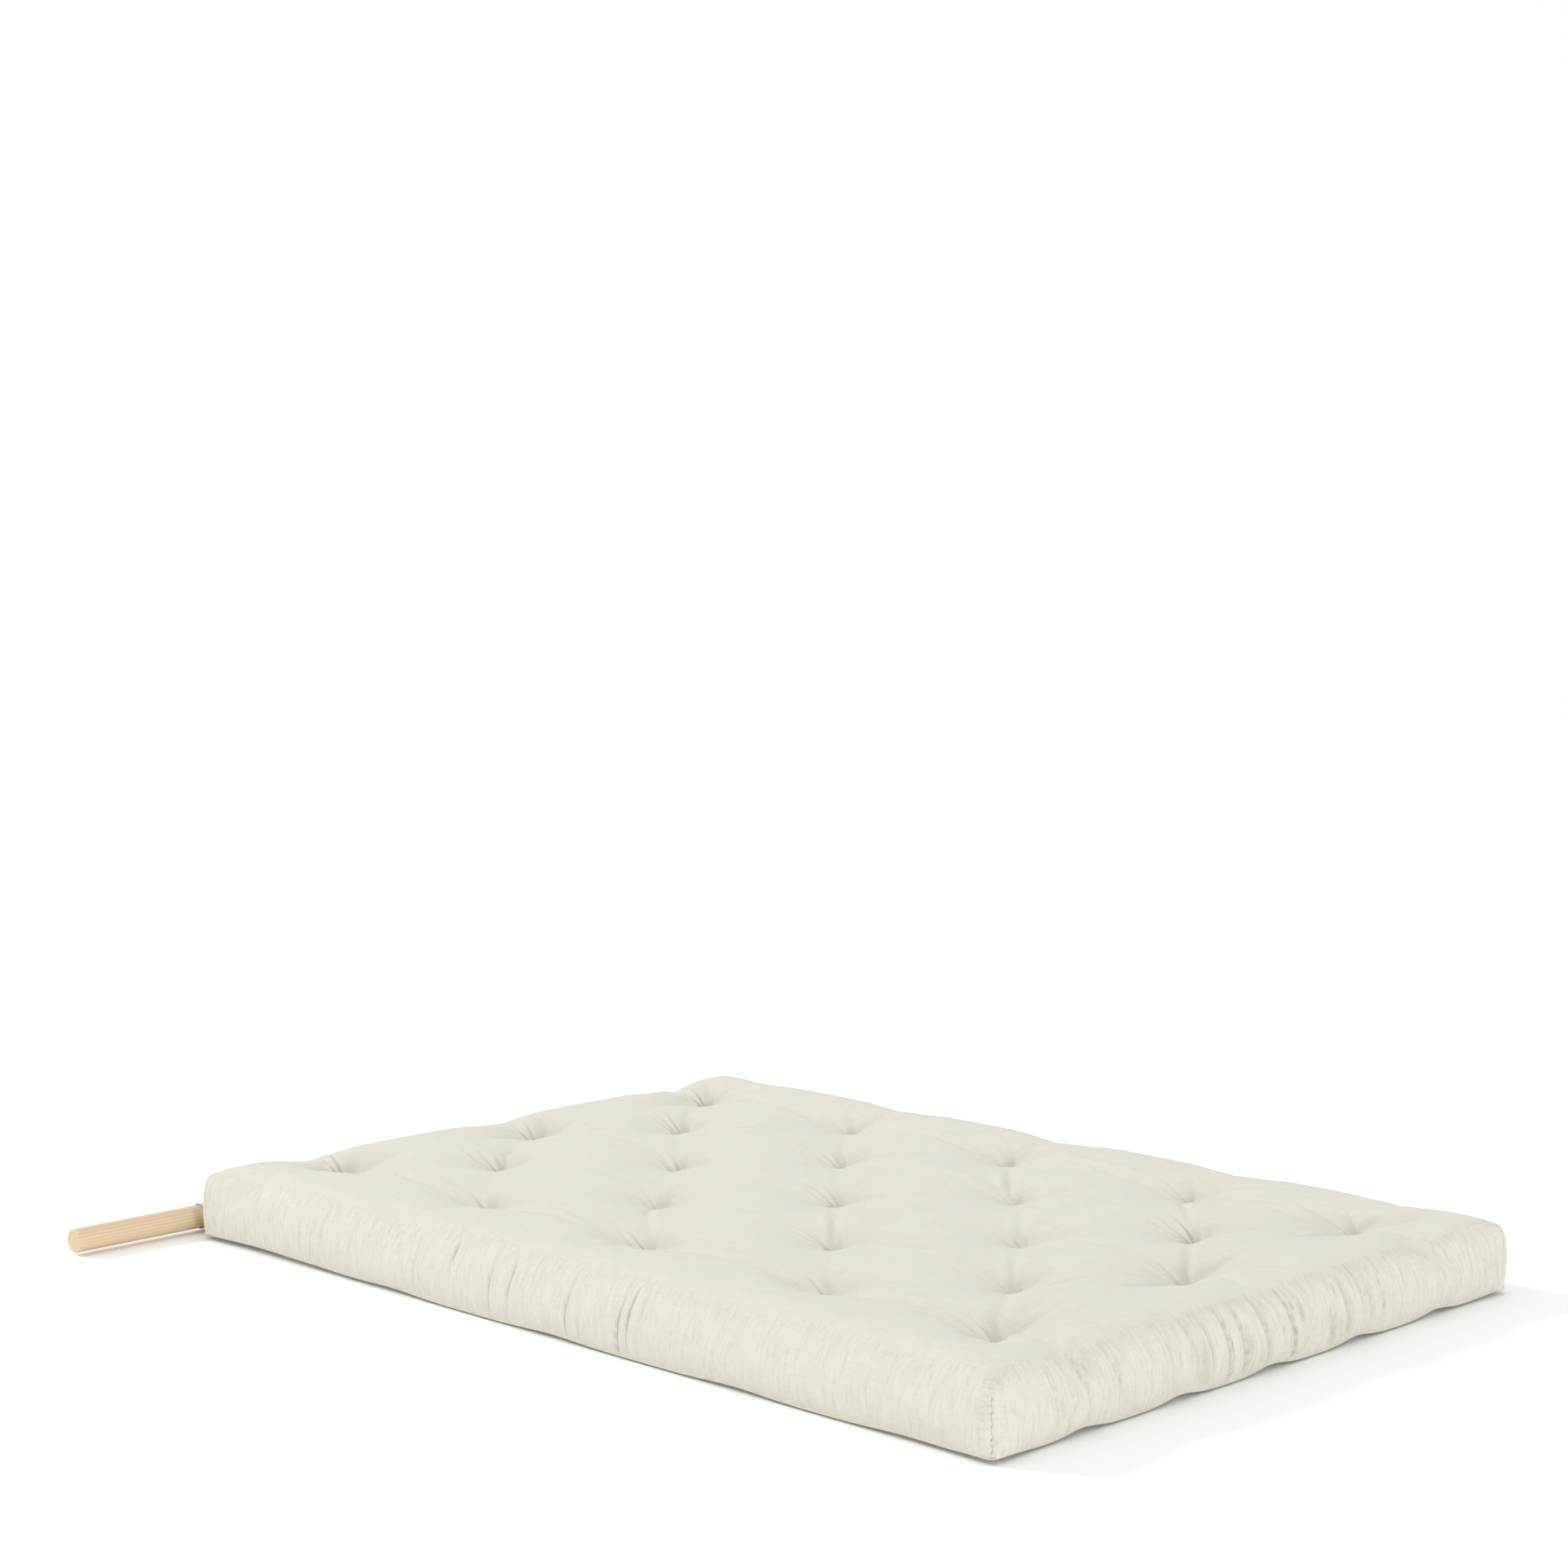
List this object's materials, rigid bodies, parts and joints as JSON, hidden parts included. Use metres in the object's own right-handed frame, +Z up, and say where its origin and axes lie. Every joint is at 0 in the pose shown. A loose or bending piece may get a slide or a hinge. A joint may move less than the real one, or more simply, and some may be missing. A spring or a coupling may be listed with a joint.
{
  "type": "futon mattress",
  "caption": "Tufted cotton and foam futon mattress with a fabric tunnel along its head end that holds a wooden hanging dowel; the head end folds up into a backrest.",
  "frame": {"origin": "centre of the mattress's underside, on the floor", "axes": "+Z up; +Y along the length, towards the head end with the dowel; +X across the width, along the dowel"},
  "size_m": [1.92, 2.0975, 0.14],
  "materials": {
    "cover": "matte woven cotton",
    "cotton": "matte fibrous",
    "foam": "matte open cell",
    "twine": "matte twisted",
    "thread": "matte",
    "dowel_wood": "sanded, unvarnished"
  },
  "bodies": {
    "seat": {"cover_top_seat": "cover", "cover_bottom_seat": "cover", "cotton_felt_1_seat": "cotton", "cotton_felt_2_seat": "cotton", "foam_sheet_1_seat": "foam", "foam_sheet_2_seat": "foam", "cotton_felt_3_seat": "cotton", "cotton_felt_4_seat": "cotton", "tuft_ties_seat": "twine", "bottom_seam_seat": "thread", "corner_stitching_foot": "thread"},
    "back": {"cover_top_back": "cover", "cover_bottom_back": "cover", "cotton_felt_1_back": "cotton", "cotton_felt_2_back": "cotton", "foam_sheet_1_back": "foam", "foam_sheet_2_back": "foam", "cotton_felt_3_back": "cotton", "cotton_felt_4_back": "cotton", "tuft_ties_back": "twine", "bottom_seam_back": "thread", "corner_stitching_head": "thread"},
    "sleeve": {"dowel_sleeve": "cover", "sleeve_stitching": "thread"},
    "dowel": {"hanging_dowel": "dowel_wood"}
  },
  "joints": [
    {"name": "head_end_fold", "type": "hinge", "parent": "seat", "child": "back", "pos_m": [0, 0.53, 0.14], "axis": [1, 0, 0], "range_deg": [0, 90]},
    {"name": "sleeve_flap", "type": "hinge", "parent": "back", "child": "sleeve", "pos_m": [0, 1.0015, 0.0265], "axis": [1, 0, 0], "range_deg": [0, 60]},
    {"name": "dowel_slide", "type": "slide", "parent": "sleeve", "child": "dowel", "axis": [1, 0, 0], "range_m": [-1.65, 1.65]}
  ]
}
